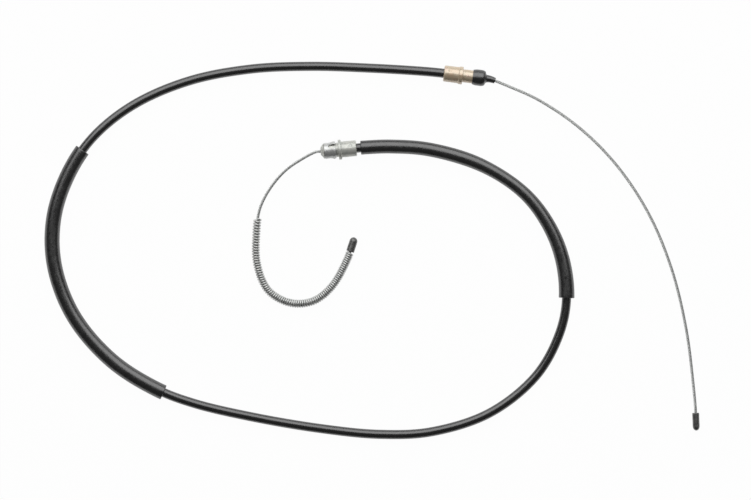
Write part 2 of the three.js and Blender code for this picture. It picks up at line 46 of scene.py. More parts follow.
# The wire and the conduit
WIRE_RADIUS = 1.6 * MM
WIRE_CLEARANCE = 0.3 * MM  # round the wire in every bore that it slides through
SEAT_GAP = 0.3 * MM  # between pieces that are pressed, moulded or crimped together
LINER_WALL = 0.5 * MM
WOUND_WIRE_WALL = 1 * MM
JACKET_WALL = 1.1 * MM
LINER_BORE = WIRE_RADIUS + WIRE_CLEARANCE
LINER_RADIUS = LINER_BORE + LINER_WALL
WOUND_WIRE_BORE = LINER_RADIUS + SEAT_GAP
WOUND_WIRE_RADIUS = WOUND_WIRE_BORE + WOUND_WIRE_WALL
JACKET_BORE = WOUND_WIRE_RADIUS + SEAT_GAP
JACKET_RADIUS = JACKET_BORE + JACKET_WALL

# The protective sleeves
SLEEVE_BORE = JACKET_RADIUS + SEAT_GAP
FRONT_SLEEVE_RADIUS = SLEEVE_BORE + 3 * MM
FRONT_SLEEVE_START = 424 * MM  # from the rear end of the front fitting
FRONT_SLEEVE_LENGTH = 326 * MM
REAR_SLEEVE_RADIUS = SLEEVE_BORE + 2.3 * MM
REAR_SLEEVE_WAIST_RADIUS = SLEEVE_BORE + 1.6 * MM  # drawn thin round its bend
REAR_SLEEVE_MOUTH_RADIUS = SLEEVE_BORE + 3.3 * MM  # at its swollen lower end
REAR_SLEEVE_LENGTH = 320 * MM
REAR_SLEEVE_TO_FITTING = 4.5 * MM
REAR_SLEEVE_WAIST_START = 130 * MM  # from the mouth, as are the next two
REAR_SLEEVE_WAIST_END = 165 * MM
REAR_SLEEVE_BODY_START = 200 * MM
REAR_SLEEVE_MOUTH_BLEND = 40 * MM  # the fillets where its thickness changes
REAR_SLEEVE_BODY_BLEND = 17 * MM
SLEEVE_EDGE = 1 * MM

# The front fitting and its boot
FRONT_BARREL_RADIUS = 8.9 * MM
FRONT_BARREL_LENGTH = 16.5 * MM
COLLAR_RADIUS = 9.7 * MM
FRONT_COLLAR_LENGTH = 4.4 * MM
COLLAR_SLOPE_BEFORE = 0.6 * MM  # of the slope from the collar down to the barrel
COLLAR_SLOPE_BEYOND = 0.4 * MM
COLLAR_FILLET = 0.6 * MM
COLLAR_SLOPE_FILLET = 0.8 * MM
FRONT_NECK_RADIUS = 7.1 * MM
FRONT_NECK_LENGTH = 11 * MM
FRONT_SPIGOT_LENGTH = 9 * MM  # of the neck, inside the boot
BEAD_HEIGHT = 0.6 * MM  # of the ridge on the spigot that holds the boot
BEAD_LENGTH = 2.4 * MM
BEAD_RADIUS = FRONT_NECK_RADIUS + BEAD_HEIGHT
BEAD_FILLET = 0.3 * MM
BOOT_CAP_RADIUS = 8.9 * MM
BOOT_CAP_LENGTH = 14.2 * MM
BOOT_CAP_REAR_RADIUS = 8 * MM
BOOT_CAP_TAPER_LENGTH = 3.4 * MM
BOOT_CAP_TAPER_FILLET = 2.4 * MM
BOOT_CAP_REAR_FILLET = 0.7 * MM
BOOT_SHOULDER = [  # radius, distance behind the cap's front, and fillet of each corner
    (5.6 * MM, 0, 1.2 * MM),
    (7.6 * MM, 0.5 * MM, 1.9 * MM),
    (BOOT_CAP_RADIUS, 3.2 * MM, 2.6 * MM),
]
BOOT_FRONT_WALL = 2 * MM
BOOT_NOZZLE_LENGTH = 10.8 * MM
BOOT_NOZZLE_ROOT_RADIUS = 4.2 * MM
BOOT_NOZZLE_ROOT_LENGTH = 1.2 * MM
BOOT_NOZZLE_ROOT_FILLET = 1.4 * MM
BOOT_NOZZLE_TIP_RADIUS = 3.2 * MM
BOOT_NOZZLE_TIP_FILLET = 0.5 * MM

# The rear fitting
REAR_BARREL_RADIUS = 8.75 * MM
REAR_BARREL_LENGTH = 16.7 * MM
FLANGE_RADIUS = 11 * MM
REAR_FLANGE_LENGTH = 3.2 * MM
FLANGE_FILLET = 0.9 * MM  # on the side that faces the conduit
REAR_SHOULDER_RADIUS = 7.9 * MM  # of the step between the flange and the prongs
REAR_SHOULDER_LENGTH = 2.4 * MM
REAR_HUB_RADIUS = 7.2 * MM
REAR_HUB_LENGTH = 15.8 * MM
REAR_NOSE_RADIUS = 8.8 * MM
REAR_NOSE_TIP_RADIUS = 4 * MM
REAR_NOSE_LENGTH = 3.9 * MM

# Both fittings
FITTING_BORE = LINER_RADIUS + SEAT_GAP
SOCKET_RADIUS = JACKET_RADIUS + SEAT_GAP
SOCKET_FLOOR = 5 * MM  # from the shoulder of a fitting back to the end of its socket
LINER_SETBACK = 1 * MM  # of the liner from the end that the wire leaves by
BARREL_FILLET = 1.7 * MM
ROOT_FILLET = 0.5 * MM  # where a neck or a barrel meets a wider step, and on the nose
STEP_FILLET = 0.4 * MM
SOCKET_FILLET = 0.3 * MM
FINE_FILLET = 0.2 * MM
CRIMP_DIMPLES = 3
CRIMP_DIMPLE_RADIUS = 3.4 * MM  # of the round punch
CRIMP_DIMPLE_DEPTH = 0.8 * MM
CRIMP_DIMPLE_FROM_END = 6.6 * MM
CRIMP_ROLL = math.radians(-22)  # of the first mark, from the top, positive towards -Y
CRIMPED_SKIN = 8 * MM  # the punch marks only the skin outside this radius

# The prong retainer
PRONG_COUNT = 3
PRONG_BORE = REAR_HUB_RADIUS + SEAT_GAP
PRONG_SHEET = 1.2 * MM
PRONG_BAND_LENGTH = 5.8 * MM
PRONG_FINGER_LENGTH = 6.8 * MM
PRONG_FLARE = 1.1 * MM  # how far the crest of a finger stands out from the band
PRONG_TIP_DROP = 0.62  # the share of the flare that is lost towards the tip
PRONG_RISE_POWER = 1.2
PRONG_DROP_POWER = 1.6
PRONG_CREST_FROM_TIP = 2.7 * MM
PRONG_SLOT_WIDTH = 4.6 * MM
PRONG_SLOT_INTO_BAND = 1.2 * MM
PRONG_ROLL = math.radians(90)  # of the first slot, from the top, positive towards -Y
PRONG_EDGE = 0.12 * MM

# The guard spring, whose wire is drawn a little thicker than the CAD part's
SPRING_RADIUS = 4.5 * MM
SPRING_COIL_RADIUS = 3.5 * MM  # to the middle of its wire
SPRING_WIRE_RADIUS = 1.08 * MM
SPRING_LENGTH = 206 * MM
SPRING_OPEN_LENGTH = 96 * MM  # the stretch whose pitch still changes
SPRING_OPEN_PITCH = 3.2 * MM
SPRING_CLOSE_PITCH = 2.4 * MM

# The end buttons
FRONT_BUTTON_RADIUS = 3.8 * MM
FRONT_BUTTON_LENGTH = 19.5 * MM
REAR_BUTTON_RADIUS = 4.4 * MM
REAR_BUTTON_LENGTH = 16.5 * MM
BUTTON_NOSE_LENGTH = 5 * MM
BUTTON_WIRE_DEPTH = 12 * MM  # how far the wire is cast into a button
BUTTON_RIM = 0.7 * MM
BUTTON_MOUTH_EDGE = 0.25 * MM
NOSE_STEP = 6  # degrees between the rings of the rounded nose

# The rope's outer wires, which only the scene has
ROPE_WIRES = 12
ROPE_WIRE_POINTS = 5
ROPE_LAY = 28 * MM
REAR_ROPE_SETBACK = 2 * MM  # of the bare rear rope's start from the nose tip

# How finely the pieces are drawn
SAMPLES_PER_SPAN = 24
FITTING_SIDES = 112
FITTING_STEP = 0.5 * MM
BOOT_SIDES = 72
BOOT_STEP = 1 * MM
BUTTON_SIDES = 56
BUTTON_STEP = 0.6 * MM
SLEEVE_SIDES = 56
SLEEVE_STEP = 4 * MM
JACKET_SIDES = 40
JACKET_STEP = 5 * MM
HIDDEN_SIDES = 20
HIDDEN_STEP = 6 * MM
BARE_ROPE_STEP = 1.6 * MM
HIDDEN_ROPE_STEP = 9 * MM
SPRING_STEPS_PER_TURN = 26
SPRING_WIRE_SIDES = 12
PRONG_ROWS = 46
PRONG_COLUMNS = 120
CORD_STEP = 4 * MM  # between the points of a declared cord

# The rigid pieces: where each starts, which way it heads, in degrees, and its length
STRAIGHT_LEAD = 5 * MM  # that the centreline stays straight beyond a rigid piece
FRONT_TIP = ((0.3571, -0.1989, FRONT_BUTTON_RADIUS), 92.3, FRONT_BUTTON_LENGTH)
FRONT_FITTING = (
    (0.1249, 0.1882, COLLAR_RADIUS), 172.9,
    BOOT_CAP_LENGTH + FRONT_NECK_LENGTH + FRONT_COLLAR_LENGTH + FRONT_BARREL_LENGTH,
)
REAR_FITTING = (
    (-0.0168, 0.1117, FLANGE_RADIUS), 185.2,
    REAR_BARREL_LENGTH + REAR_FLANGE_LENGTH + REAR_HUB_LENGTH + REAR_NOSE_LENGTH,
)
REAR_BUTTON = ((-0.0239, -0.0021, SPRING_RADIUS), 72, REAR_BUTTON_LENGTH)

# The centreline between them, as in the CAD part
FRONT_WIRE_ROUTE = [
    (0.3539, -0.1488, 0.0022), (0.3462, -0.0881, WIRE_RADIUS), (0.3304, -0.0222, WIRE_RADIUS),
    (0.3054, 0.0386, WIRE_RADIUS), (0.27, 0.0924, 0.0024), (0.2289, 0.1338, 0.0044),
    (0.184, 0.1644, 0.0068), (0.1494, 0.1801, 0.0087),
]
CONDUIT_ROUTE = [
    (0.053, 0.1965, 0.007), (-0.002, 0.1998, JACKET_RADIUS), (-0.068, 0.2018, JACKET_RADIUS),
    (-0.134, 0.1987, JACKET_RADIUS), (-0.2012, 0.1857, JACKET_RADIUS), (-0.262, 0.1594, 0.0062),
    (-0.3058, 0.1244, FRONT_SLEEVE_RADIUS), (-0.3325, 0.0856, FRONT_SLEEVE_RADIUS),
    (-0.3494, 0.0359, FRONT_SLEEVE_RADIUS), (-0.349, -0.0165, FRONT_SLEEVE_RADIUS),
    (-0.3282, -0.0722, FRONT_SLEEVE_RADIUS), (-0.2869, -0.1209, FRONT_SLEEVE_RADIUS),
    (-0.237, -0.153, FRONT_SLEEVE_RADIUS), (-0.1961, -0.1687, 0.0064),
    (-0.134, -0.1834, JACKET_RADIUS), (-0.0572, -0.1965, JACKET_RADIUS),
    (0.009, -0.203, JACKET_RADIUS), (0.0661, -0.2001, JACKET_RADIUS), (0.1304, -0.1791, 0.0052),
    (0.1812, -0.138, 0.006), (0.2064, -0.092, 0.0082), (0.214, -0.054, 0.009),
    (0.2096, -0.011, 0.0085), (0.1942, 0.0275, 0.0082), (0.1673, 0.0624, 0.008),
    (0.1209, 0.0928, 0.0082), (0.0639, 0.1101, 0.0092), (0.02, 0.1135, 0.0103),
]
REAR_WIRE_ROUTE = [
    (-0.0748, 0.1009, 0.0094), (-0.095, 0.0871, 0.0078), (-0.1119, 0.0674, 0.0061),
    (-0.1232, 0.045, 0.0049), (-0.1271, 0.016, SPRING_RADIUS), (-0.1261, -0.016, SPRING_RADIUS),
    (-0.1137, -0.0449, SPRING_RADIUS), (-0.0891, -0.0585, SPRING_RADIUS),
    (-0.0637, -0.0561, SPRING_RADIUS), (-0.0429, -0.039, SPRING_RADIUS),
]


# The route


def straight_points(piece, lead_before, lead_after):
    """The two ends of a rigid piece, and a lead before and after it."""
    start, heading, length = piece
    angle = math.radians(heading)
    along = np.array((math.cos(angle), math.sin(angle), 0.0))
    offsets = [0.0, length]
    if lead_before:
        offsets.insert(0, -STRAIGHT_LEAD)
    if lead_after:
        offsets.append(length + STRAIGHT_LEAD)
    return [np.array(start) + along * offset for offset in offsets]


route_parts = [
    straight_points(FRONT_TIP, False, True),
    FRONT_WIRE_ROUTE,
    straight_points(FRONT_FITTING, True, True),
    CONDUIT_ROUTE,
    straight_points(REAR_FITTING, True, True),
    REAR_WIRE_ROUTE,
    straight_points(REAR_BUTTON, True, False),
]
route_points = np.array([point for part in route_parts for point in part])
part_starts = np.cumsum([0] + [len(part) for part in route_parts])


def route_coefficients():
    """Cubic coefficients of each span of a centripetal Catmull-Rom curve."""
    points = np.vstack([
        2 * route_points[0] - route_points[1],
        route_points,
        2 * route_points[-1] - route_points[-2],
    ])
    spans = []
    for i in range(len(route_points) - 1):
        p0, p1, p2, p3 = points[i : i + 4]
        d0, d1, d2 = (
            np.sqrt(np.linalg.norm(b - a)) for a, b in ((p0, p1), (p1, p2), (p2, p3))
        )
        t1 = ((p1 - p0) / d0 - (p2 - p0) / (d0 + d1) + (p2 - p1) / d1) * d1
        t2 = ((p2 - p1) / d1 - (p3 - p1) / (d1 + d2) + (p3 - p2) / d2) * d1
        spans.append((p1, t1, -3 * p1 + 3 * p2 - 2 * t1 - t2, 2 * p1 - 2 * p2 + t1 + t2))
    return np.array(spans)


route_cubics = route_coefficients()


def route_at(parameter):
    """Points and unit tangents of the route at parameters counted in spans."""
    parameter = np.clip(parameter, 0, len(route_cubics) - 1e-9)
    span = parameter.astype(int)
    t = (parameter - span)[:, None]
    c0, c1, c2, c3 = (route_cubics[span, k] for k in range(4))
    point = c0 + t * (c1 + t * (c2 + t * c3))
    slope = c1 + t * (2 * c2 + 3 * t * c3)
    return point, slope / np.linalg.norm(slope, axis=1, keepdims=True)


table_parameters = np.arange(len(route_cubics) * SAMPLES_PER_SPAN + 1) / SAMPLES_PER_SPAN
table_points = route_at(table_parameters)[0]
table_steps = np.linalg.norm(np.diff(table_points, axis=0), axis=1)
route_lengths = np.concatenate([[0.0], np.cumsum(table_steps)])


def frames_at(stations):
    """Places, tangents, horizontal sides and upward normals at distances along the route."""
    parameter = np.interp(stations, route_lengths, table_parameters)
    at, along = route_at(parameter)
    side = np.stack([-along[:, 1], along[:, 0], np.zeros(len(along))], 1)
    side /= np.linalg.norm(side, axis=1, keepdims=True)
    return at, along, side, np.cross(along, side)


def station_of(part, place):
    """The station of a point in a part of the route."""
    return float(route_lengths[(part_starts[part] + place) * SAMPLES_PER_SPAN])


# The stations that the pieces start and end at. A rigid piece starts at point 1 of its
# part of the route, because its lead comes first.
FRONT_FITTING_PART, REAR_FITTING_PART, REAR_BUTTON_PART = 2, 4, 6
button_face_front = FRONT_BUTTON_LENGTH
cap_front = station_of(FRONT_FITTING_PART, 1)
cap_rear = cap_front + BOOT_CAP_LENGTH
boot_tip = cap_front - BOOT_NOZZLE_LENGTH
spigot_end = cap_rear - FRONT_SPIGOT_LENGTH
collar_front = cap_rear + FRONT_NECK_LENGTH
collar_rear = collar_front + FRONT_COLLAR_LENGTH
front_barrel_end = collar_rear + FRONT_BARREL_LENGTH
front_socket = collar_front + SOCKET_FLOOR
front_sleeve_start = front_barrel_end + FRONT_SLEEVE_START
front_sleeve_end = front_sleeve_start + FRONT_SLEEVE_LENGTH
rear_barrel_end = station_of(REAR_FITTING_PART, 1)
rear_sleeve_end = rear_barrel_end - REAR_SLEEVE_TO_FITTING
rear_sleeve_start = rear_sleeve_end - REAR_SLEEVE_LENGTH
flange_front = rear_barrel_end + REAR_BARREL_LENGTH
flange_rear = flange_front + REAR_FLANGE_LENGTH
rear_socket = flange_rear - SOCKET_FLOOR
nose_start = flange_rear + REAR_HUB_LENGTH
nose_tip = nose_start + REAR_NOSE_LENGTH
button_face_rear = station_of(REAR_BUTTON_PART, 1)
rear_tip = button_face_rear + REAR_BUTTON_LENGTH
spring_end = button_face_rear - SEAT_GAP
spring_start = spring_end - SPRING_LENGTH


# Mesh builders


def mesh_piece(name, vertices, faces, station, around, sharp=35):
    """A mesh object with each vertex's station and angle stored for its material."""
    mesh = bpy.data.meshes.new(name)
    mesh.from_pydata([tuple(v) for v in vertices], [], faces)
    for label, values in (("station", station), ("around", around)):
        attribute = mesh.attributes.new(label, "FLOAT", "POINT")
        attribute.data.foreach_set("value", np.asarray(values, np.float32))
    mesh.validate()
    mesh.shade_smooth()
    mesh.set_sharp_from_angle(angle=math.radians(sharp))
    piece = bpy.data.objects.new(name, mesh)
    bpy.context.scene.collection.objects.link(piece)
    return piece


def rounded(corners, steps=5):
    """A profile of (radius, station, fillet) corners with each fillet drawn as a smooth curve."""
    share = 0.48  # of a stretch that a fillet may take, so that two never meet
    points = []
    for i, (radius, station, fillet) in enumerate(corners):
        here = np.array((radius, station))
        if fillet <= 0 or i in (0, len(corners) - 1):
            points.append(here)
            continue
        before = np.array(corners[i - 1][:2]) - here
        after = np.array(corners[i + 1][:2]) - here
        reach = min(fillet, share * np.linalg.norm(before), share * np.linalg.norm(after))
        start = here + before / np.linalg.norm(before) * reach
        end = here + after / np.linalg.norm(after) * reach
        for k in range(steps + 1):
            t = k / steps
            points.append((1 - t) ** 2 * start + 2 * t * (1 - t) * here + t**2 * end)
    return np.array(points)


def refined(profile, step):
    """The same profile with no stretch longer than the step."""
    points = [profile[0]]
    for a, b in zip(profile[:-1], profile[1:]):
        pieces = max(1, math.ceil(np.linalg.norm(b - a) / step))
        points += [a + (b - a) * k / pieces for k in range(1, pieces + 1)]
    return np.array(points)


def outward_at(side, up, angles):
    """Directions away from the route, at angles counted from the top towards the side."""
    return (
        up[:, None, :] * np.cos(angles)[..., None]
        + side[:, None, :] * np.sin(angles)[..., None]
    )


def turn_from(angle, middle):
    """The signed turn from one angle to another, at most half a circle."""
    return (angle - middle + math.pi) % (2 * math.pi) - math.pi


def skin_faces(rows, sides, ring=False):
    """The faces between rows of vertices, with a cap on each end unless they make a ring."""
    faces = []
    for i in range(rows if ring else rows - 1):
        j = (i + 1) % rows
        for k in range(sides):
            m = (k + 1) % sides
            faces.append((i * sides + k, i * sides + m, j * sides + m, j * sides + k))
    if not ring:
        faces.append(tuple(range(sides - 1, -1, -1)))
        faces.append(tuple(range((rows - 1) * sides, rows * sides)))
    return faces


def turned(name, profile, sides, step, swell=None):
    """Turns a (radius, station) profile round the route. A profile that ends where it starts
    makes a ring, and any other is capped. The swell adds to the radius at a station and an
    angle."""
    profile = refined(np.asarray(profile, float), step)
    ring = np.allclose(profile[0], profile[-1])
    if ring:
        profile = profile[:-1]
    rows = len(profile)
    at, _, side, up = frames_at(profile[:, 1])
    angles = 2 * math.pi * np.arange(sides) / sides
    radius = np.repeat(profile[:, :1], sides, 1)
    if swell is not None:
        radius = radius + swell(radius, profile[:, 1:2], angles[None, :])
    vertices = at[:, None, :] + outward_at(side, up, angles) * radius[:, :, None]
    return mesh_piece(
        name, vertices.reshape(-1, 3), skin_faces(rows, sides, ring),
        np.repeat(profile[:, 1] / MM, sides), np.tile(angles, rows),
    )


def tube(name, bore, radius, start, end, sides, step, edge=0.0):
    """A plain tube along the route with rounded outer edges."""
    profile = rounded([
        (bore, start, 0), (radius, start, edge), (radius, end, edge),
        (bore, end, 0), (bore, start, 0),
    ])
    return turned(name, profile, sides, step)


def crimp_marks(centre, barrel_radius):
    """The hollows that a round punch leaves round a barrel, as a change of radius."""

    def hollow(radius, station, angle):
        change = 0.0
        for k in range(CRIMP_DIMPLES):
            turn = turn_from(angle, CRIMP_ROLL + 2 * math.pi * k / CRIMP_DIMPLES)
            away = np.hypot(station - centre, turn * barrel_radius)
            punched = np.sqrt(np.clip(CRIMP_DIMPLE_RADIUS**2 - away**2, 0, None))
            bite = punched - (CRIMP_DIMPLE_RADIUS - CRIMP_DIMPLE_DEPTH)
            change = change - np.clip(bite, 0, None)
        return np.where(radius > CRIMPED_SKIN, change, 0.0)

    return hollow


def strand(name, start, end, step):
    """A wire rope's outer layer of round wires with its lay, as one closed mesh."""
    wire = WIRE_RADIUS / (1 + 1 / math.sin(math.pi / ROPE_WIRES))
    ring = WIRE_RADIUS - wire
    half = math.pi / ROPE_WIRES
    angles, reaches = [], []
    for w in range(ROPE_WIRES):
        for k in range(ROPE_WIRE_POINTS):
            turn = (k / ROPE_WIRE_POINTS * 2 - 1) * half
            across = ring * math.sin(turn)
            angles.append(2 * math.pi * w / ROPE_WIRES + turn)
            reaches.append(ring * math.cos(turn) + math.sqrt(max(wire**2 - across**2, 0)))
    angles = np.array(angles)
    sides = len(angles)
    rows = max(2, math.ceil((end - start) / step) + 1)
    stations = np.linspace(start, end, rows)
    at, _, side, up = frames_at(stations)
    lay = (2 * math.pi * stations / ROPE_LAY)[:, None]
    outward = outward_at(side, up, angles[None, :] + lay)
    vertices = at[:, None, :] + outward * np.array(reaches)[None, :, None]
    return mesh_piece(
        name, vertices.reshape(-1, 3), skin_faces(rows, sides),
        np.repeat(stations / MM, sides), np.tile(angles, rows), sharp=50,
    )


def spring_turns(distance):
    """Turns that the guard spring has made: its pitch falls along the open stretch."""
    change = (SPRING_CLOSE_PITCH - SPRING_OPEN_PITCH) / SPRING_OPEN_LENGTH
    opened = np.minimum(distance, SPRING_OPEN_LENGTH)
    turns = np.log((SPRING_OPEN_PITCH + change * opened) / SPRING_OPEN_PITCH) / change
    return turns + (distance - opened) / SPRING_CLOSE_PITCH


def coil_spring(name):
    """The guard spring, a round wire wound round the route."""
    length = spring_end - spring_start - 2 * SPRING_WIRE_RADIUS
    steps = int(round(float(spring_turns(length)) * SPRING_STEPS_PER_TURN))
    distance = np.linspace(0, length, steps + 1)
    angle = 2 * math.pi * spring_turns(distance)
    at, _, side, up = frames_at(spring_start + SPRING_WIRE_RADIUS + distance)
    outward = up * np.cos(angle)[:, None] + side * np.sin(angle)[:, None]
    centre = at + outward * SPRING_COIL_RADIUS
    along = np.gradient(centre, axis=0)
    along /= np.linalg.norm(along, axis=1, keepdims=True)
    outward -= along * np.sum(outward * along, axis=1, keepdims=True)
    outward /= np.linalg.norm(outward, axis=1, keepdims=True)
    across = np.cross(along, outward)
    sides = SPRING_WIRE_SIDES
    section = 2 * math.pi * np.arange(sides) / sides
    vertices = (
        centre[:, None, :] + outward_at(across, outward, section) * SPRING_WIRE_RADIUS
    )
    return mesh_piece(
        name, vertices.reshape(-1, 3), skin_faces(steps + 1, sides),
        np.repeat(distance / MM, sides), np.tile(section, steps + 1), sharp=60,
    )


def slit_band(name, stations, columns, inner, outer, keep):
    """A curved sheet round the route, with the cells that are cut away left out."""
    angles = 2 * math.pi * np.arange(columns) / columns
    at, _, side, up = frames_at(stations)
    outward = outward_at(side, up, angles)
    skins = [
        (at[:, None, :] + outward * radius[:, None, None]).reshape(-1, 3)
        for radius in (inner, outer)
    ]
    rows = len(stations)
    layer = rows * columns
    middle = (stations[:-1] + stations[1:]) / 2
    kept = [
        [keep(middle[i], angles[k] + math.pi / columns) for k in range(columns)]
        for i in range(rows - 1)
    ]
    faces = []
    for i in range(rows - 1):
        for k in range(columns):
            if not kept[i][k]:
                continue
            m = (k + 1) % columns
            a, b = i * columns + k, i * columns + m
            c, d = (i + 1) * columns + m, (i + 1) * columns + k
            faces.append((a + layer, b + layer, c + layer, d + layer))
            faces.append((d, c, b, a))
            if i == 0 or not kept[i - 1][k]:
                faces.append((a, b, b + layer, a + layer))
            if i == rows - 2 or not kept[i + 1][k]:
                faces.append((c, d, d + layer, c + layer))
            if not kept[i][(k - 1) % columns]:
                faces.append((d, a, a + layer, d + layer))
            if not kept[i][m]:
                faces.append((b, c, c + layer, b + layer))
    piece = mesh_piece(
        name, np.vstack(skins), faces,
        np.tile(np.repeat(stations / MM, columns), 2), np.tile(np.tile(angles, rows), 2),
    )
    edges = piece.modifiers.new("rounded_edges", "BEVEL")
    edges.width = PRONG_EDGE
    edges.segments = 2
    edges.limit_method = "ANGLE"
    edges.angle_limit = math.radians(50)
    return piece


# Materials

YELLOW_ZINC_IOR = 2
BLACK_PLASTIC_IOR = 1.62
BLACK_RUBBER_IOR = 1.62


class Finish:
    """A procedural material built round one shader."""

    def __init__(self, name, color, roughness, metallic, specular=0.5):
        self.material = bpy.data.materials.new(name)
        self.material.use_nodes = True
        self.tree = self.material.node_tree
        self.shader = self.tree.nodes["Principled BSDF"]
        self.shader.inputs["Base Color"].default_value = (*color, 1)
        self.shader.inputs["Roughness"].default_value = roughness
        self.shader.inputs["Metallic"].default_value = metallic
        self.shader.inputs["Specular IOR Level"].default_value = specular
        self.height = None

    def node(self, kind, **inputs):
        made = self.tree.nodes.new(kind)
        for key, value in inputs.items():
            made.inputs[key.replace("_", " ")].default_value = value
        return made

    def link(self, source, target):
        self.tree.links.new(source, target)

    def noise(self, scale, detail=4, rough=0.5, stretch=None):
        """Noise in the object's own space, or in stored station and angle when stretched."""
        texture = self.node("ShaderNodeTexNoise", Scale=scale, Detail=detail, Roughness=rough)
        if stretch is None:
            place = self.node("ShaderNodeTexCoord").outputs["Object"]
        else:
            joined = self.node("ShaderNodeCombineXYZ")
            for socket, label, factor in (("X", "station", stretch[0]), ("Y", "around", stretch[1])):
                stored = self.node("ShaderNodeAttribute")
                stored.attribute_name = label
                scaled = self.node("ShaderNodeMath")
                scaled.operation = "MULTIPLY"
                scaled.inputs[1].default_value = factor
                self.link(stored.outputs["Fac"], scaled.inputs[0])
                self.link(scaled.outputs[0], joined.inputs[socket])
            place = joined.outputs[0]
        self.link(place, texture.inputs["Vector"])
        return texture.outputs["Fac"]

    def spread(self, source, low, high, start=0.3, end=0.7):
        """Maps a noise to a range of numbers."""
        mapped = self.node("ShaderNodeMapRange")
        mapped.inputs["From Min"].default_value = start
        mapped.inputs["From Max"].default_value = end
        mapped.inputs["To Min"].default_value = low
        mapped.inputs["To Max"].default_value = high
        self.link(source, mapped.inputs["Value"])
        return mapped.outputs[0]

    def tint(self, source, colors, start=0.3, end=0.7):
        """Colours the surface along a noise with evenly spaced colours."""
        ramp = self.node("ShaderNodeValToRGB")
        band = ramp.color_ramp
        while len(band.elements) < len(colors):
            band.elements.new(0.5)
        for i, color in enumerate(colors):
            band.elements[i].position = start + (end - start) * i / (len(colors) - 1)
            band.elements[i].color = (*color, 1)
        self.link(source, ramp.inputs["Fac"])
        self.link(ramp.outputs["Color"], self.shader.inputs["Base Color"])

    def roughen(self, source, low, high):
        self.link(self.spread(source, low, high), self.shader.inputs["Roughness"])

    def bump(self, source, distance, strength=1.0):
        """Adds one more layer of small relief."""
        layer = self.node("ShaderNodeBump", Strength=strength, Distance=distance)
        self.link(source, layer.inputs["Height"])
        if self.height is not None:
            self.link(self.height, layer.inputs["Normal"])
        self.height = layer.outputs["Normal"]
        self.link(self.height, self.shader.inputs["Normal"])


def greys(*values):
    """Neutral colours of the given brightness."""
    return [(value, value, value) for value in values]


def rope_finish():
    made = Finish("galvanised_rope", (0.66, 0.67, 0.66), roughness=0.4, metallic=0.75)
    made.tint(made.noise(900, 3), [(0.52, 0.53, 0.52), (0.66, 0.67, 0.66), (0.74, 0.75, 0.74)])
    made.roughen(made.noise(1500, 2), 0.34, 0.5)
    made.bump(made.noise(4000, 2), 0.03 * MM, 0.6)
    return made.material


def spring_finish():
    made = Finish("spring_steel", (0.62, 0.63, 0.62), roughness=0.36, metallic=0.7)
    made.tint(made.noise(220, 4), [(0.51, 0.52, 0.51), (0.63, 0.64, 0.63), (0.7, 0.7, 0.68)])
    made.roughen(made.noise(700, 3), 0.3, 0.46)
    made.bump(made.noise(1.0, 3, stretch=(0.5, 9)), 0.02 * MM, 0.5)
    return made.material


def add_lathe_marks(made):
    """Fine rings left by turning, and the grain of the plating over them."""
    made.bump(made.noise(1.0, 2, stretch=(9, 0.6)), 0.012 * MM, 0.5)
    made.bump(made.noise(1600, 2), 0.01 * MM, 0.4)


def bright_zinc_finish():
    made = Finish("bright_zinc", (0.6, 0.61, 0.57), roughness=0.34, metallic=0.4)
    made.tint(made.noise(160, 4), [(0.5, 0.52, 0.49), (0.6, 0.61, 0.57), (0.65, 0.65, 0.6)])
    made.roughen(made.noise(500, 4), 0.3, 0.44)
    add_lathe_marks(made)
    return made.material


def yellow_zinc_finish():
    made = Finish("yellow_zinc", (0.62, 0.46, 0.3), roughness=0.31, metallic=0.3, specular=1)
    made.shader.inputs["IOR"].default_value = YELLOW_ZINC_IOR
    made.tint(
        made.noise(140, 3),
        [(0.58, 0.4, 0.24), (0.64, 0.49, 0.33), (0.62, 0.51, 0.35), (0.66, 0.46, 0.34)],
        start=0.28, end=0.72,
    )
    made.roughen(made.noise(450, 4), 0.26, 0.4)
    add_lathe_marks(made)
    return made.material


def cast_finish():
    made = Finish("cast_zinc", (0.18, 0.18, 0.176), roughness=0.38, metallic=0.8)
    made.tint(made.noise(400, 4), [(0.12, 0.12, 0.117), (0.18, 0.18, 0.176), (0.24, 0.24, 0.235)])
    made.roughen(made.noise(900, 3), 0.3, 0.46)
    made.bump(made.noise(1100, 4), 0.06 * MM, 0.7)
    return made.material


def plastic_finish():
    made = Finish("black_plastic", *greys(0.008), roughness=0.26, metallic=0, specular=1)
    made.shader.inputs["IOR"].default_value = BLACK_PLASTIC_IOR
    made.tint(made.noise(60, 5, 0.6), greys(0.005, 0.008, 0.013))
    made.roughen(made.noise(180, 4), 0.21, 0.31)
    made.bump(made.noise(1.0, 3, stretch=(0.16, 6)), 0.05 * MM, 0.5)
    made.bump(made.noise(1400, 3), 0.02 * MM, 0.5)
    return made.material


def rubber_finish():
    made = Finish("black_rubber", *greys(0.008), roughness=0.3, metallic=0, specular=1)
    made.shader.inputs["IOR"].default_value = BLACK_RUBBER_IOR
    made.tint(made.noise(90, 6, 0.65), greys(0.005, 0.008, 0.016))
    made.roughen(made.noise(260, 4), 0.24, 0.37)
    made.bump(made.noise(1.0, 3, stretch=(0.12, 7)), 0.06 * MM, 0.5)
    made.bump(made.noise(1800, 4), 0.05 * MM, 0.6)
    return made.material


def liner_finish():
    made = Finish("liner_plastic", (0.74, 0.72, 0.64), roughness=0.4, metallic=0)
    made.tint(made.noise(120, 3), [(0.68, 0.66, 0.58), (0.78, 0.76, 0.69)])
    made.bump(made.noise(1.0, 2, stretch=(0.2, 5)), 0.02 * MM, 0.4)
    return made.material


